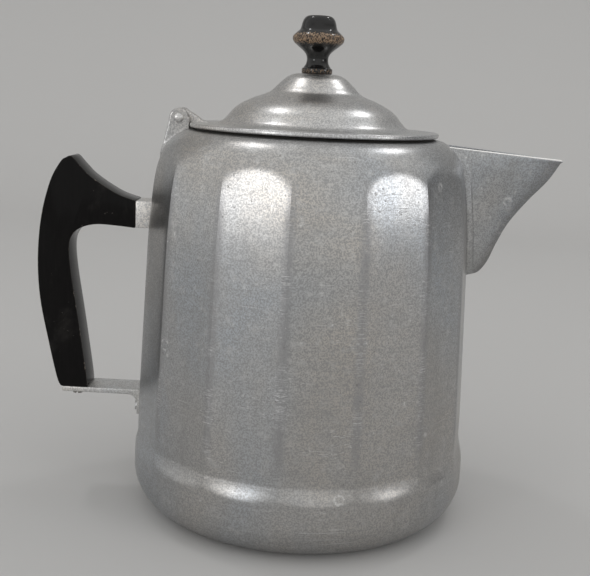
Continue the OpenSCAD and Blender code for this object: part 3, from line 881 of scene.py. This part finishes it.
def make_camera():
    """Eye 193 mm above the floor and 440 mm in front of the pot's axis, looking a little down, and slightly tipped."""
    yaw, pitch, roll = math.radians(-0.67), math.radians(11.7), math.radians(2.76)
    ahead = Vector((math.sin(yaw) * math.cos(pitch), math.cos(yaw) * math.cos(pitch), -math.sin(pitch)))
    right = Vector((math.cos(yaw), -math.sin(yaw), 0))
    up = right.cross(ahead)
    x_axis = right * math.cos(roll) + up * math.sin(roll)
    y_axis = -right * math.sin(roll) + up * math.cos(roll)
    data = bpy.data.cameras.new("camera")
    data.lens = 58.55
    data.sensor_width = 36
    data.clip_start = 0.01
    cam = bpy.data.objects.new("camera", data)
    cam.matrix_world = Matrix.Translation((0, -0.4401, 0.1929)) @ Matrix((x_axis, y_axis, -ahead)).transposed().to_4x4()
    bpy.context.scene.collection.objects.link(cam)
    bpy.context.scene.camera = cam


def soft_box(name, azimuth, elevation, width, height, power):
    """A rectangular light aimed at the pot; azimuth 0 is behind the camera, and positive turns to the right."""
    a, e = math.radians(azimuth), math.radians(elevation)
    target, away = Vector((0, 0, 0.11)), 1.3
    place = target + away * Vector((math.sin(a) * math.cos(e), -math.cos(a) * math.cos(e), math.sin(e)))
    data = bpy.data.lights.new(name, "AREA")
    data.shape = "RECTANGLE"
    data.size, data.size_y = width, height
    data.energy = power
    light = bpy.data.objects.new(name, data)
    light.location = place
    light.rotation_mode = "QUATERNION"
    light.rotation_quaternion = (target - place).to_track_quat("-Z", "Y")
    bpy.context.scene.collection.objects.link(light)


def make_world():
    """An even pale room, brighter overhead, in front and far to the left than elsewhere."""
    world = bpy.data.worlds.new("studio")
    bpy.context.scene.world = world
    world.use_nodes = True
    nodes, links = world.node_tree.nodes, world.node_tree.links
    coord = nodes.new("ShaderNodeTexCoord")
    split = nodes.new("ShaderNodeSeparateXYZ")
    links.new(coord.outputs["Generated"], split.inputs[0])
    shares = []
    spans = ((-0.35, -0.9), (-0.3, -0.85), (0.12, 0.65))
    for output, (start, end) in zip(split.outputs, spans):
        share = nodes.new("ShaderNodeMapRange")
        share.interpolation_type = "SMOOTHSTEP"
        links.new(output, share.inputs[0])
        share.inputs[1].default_value = start
        share.inputs[2].default_value = end
        shares.append(share)
    most = shares[0]
    for share in shares[1:]:
        wider = nodes.new("ShaderNodeMath")
        wider.operation = "MAXIMUM"
        links.new(most.outputs[0], wider.inputs[0])
        links.new(share.outputs[0], wider.inputs[1])
        most = wider
    tint = nodes.new("ShaderNodeMix")
    tint.data_type = "RGBA"
    links.new(most.outputs[0], tint.inputs[0])
    tint.inputs[6].default_value = rgb(0.165, 0.164, 0.164)
    tint.inputs[7].default_value = rgb(0.76, 0.76, 0.75)
    links.new(tint.outputs[2], nodes["Background"].inputs[0])
    nodes["Background"].inputs[1].default_value = 1.0


def make_floor():
    """A plain pale floor that curves up into a wall well behind the pot."""
    points = []
    curve = [(900 + 500 * math.sin(a), 500 - 500 * math.cos(a)) for a in np.linspace(0.1, math.pi / 2, 12)]
    profile = [(-2500, 0), (900, 0)] + curve + [(1400, 3000)]
    for y, z in profile:
        points += [(-3000, y, z), (3000, y, z)]
    faces = [(2 * i, 2 * i + 1, 2 * i + 3, 2 * i + 2) for i in range(len(profile) - 1)]
    floor = dress(make_mesh("floor", points, faces), plain_paper("pale_floor", 0.57))


# ---------------------------------------------------------------- build

make_camera()
make_world()
make_floor()
soft_box("front_left", -39.5, 12.5, 0.34, 0.27, 1.15)
soft_box("front_right", 65, 12.5, 0.34, 0.27, 1.2)
soft_box("top_left", -120, 65, 0.12, 0.12, 0.9)
soft_box("top_right", 128, 56, 0.12, 0.12, 0.9)
bpy.context.scene.view_settings.view_transform = "Standard"

cast = aluminium("cast_aluminium", 0.53, 0.24, 1.0, 0.5, pot=True)
cast_lid = aluminium("lid_aluminium", 0.64, 0.24, 1.0, 0.3)
cast_spout = aluminium("spout_aluminium", 0.48, 0.3, 1.2, 0.6, 0.03, spout=True)
spout_inside = aluminium("spout_inside", 0.66, 0.3, 1.0, 0.4, 0.05, film=0.5)
# painted light: a lighter tone than the pot's aluminium, standing in for the light from the upper left on the spacer
# and bracket
bracket_metal = aluminium("bracket_aluminium_lit", 0.78, 0.34, 1.0, 0.5, 0.03)
bright = aluminium("bright_aluminium", 0.7, 0.22, 0.6, 0.1)
inner_metal = aluminium("inner_aluminium", 0.66, 0.27, 0.8, 0.35, 0.05)
basket_metal = aluminium("basket_aluminium", 0.66, 0.24, 0.7, 0.25, 0.04)
grip_paint = black_wood("grip_black", 0.03, 0.09, bevel_at=HANDLE_T / 2 - 0.9)
knob_bands = ((CROWN_Z + 11.6, CROWN_Z + 18.4, 0.5), (CROWN_Z - 0.5, CROWN_Z + 2.6, 0.2))
knob_paint = black_wood("knob_black", 0.0, 0.5, knob_bands)
steel = dull_steel("dull_steel")
seal = rubber("seal_rubber")


def place(obj, body, slot, material, *nodes):
    """Puts a finished piece on its CAD body in place of the nodes it stands for."""
    dress(obj, material)
    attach(obj, body)
    if nodes:
        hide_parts(*nodes)
    return obj


place(make_pot(), "pot", "cast_pot", cast, "pot_body")
place(make_ears(), "pot", "cast_pot", cast, "pot_body")
spout = place(make_spout(), "pot", "cast_spout", cast_spout, "spout")
spout.data.materials.append(spout_inside)
# faces that look towards the middle plane are those of the channel
for face in spout.data.polygons:
    if face.normal.y * face.center.y < 0:
        face.material_index = 1
place(make_grip(), "pot", "black_wood", grip_paint, "handle_grip")
place(make_spacer(), "pot", "bracket_metal", bracket_metal, "handle_spacer")
place(make_bracket(), "pot", "bracket_metal", bracket_metal, "handle_bracket")
place(make_pin(), "pot", "fastener", bright, "hinge_pin")
place(make_lid(), "lid", "cast_lid", cast_lid, "lid")
place(make_tongue(), "lid", "cast_lid", cast_lid, "lid")
place(make_knob(), "lid", "knob_wood", knob_paint, "knob")

carried = {
    "bracket_rivets": bright,
    "upper_screw": bright,
    "upper_seal": seal,
    "lower_screw": steel,
    "lower_washer": steel,
    "knob_screw": bright,
    "knob_washer": bright,
    "pump_tube": inner_metal,
    "pump_foot": inner_metal,
    "valve_cage": inner_metal,
    "valve_disc": inner_metal,
    "basket_stop": inner_metal,
    "coffee_basket": basket_metal,
    "basket_sleeve": basket_metal,
    "basket_lid": basket_metal,
}
for node, material in carried.items():
    dress(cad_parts[node], material)
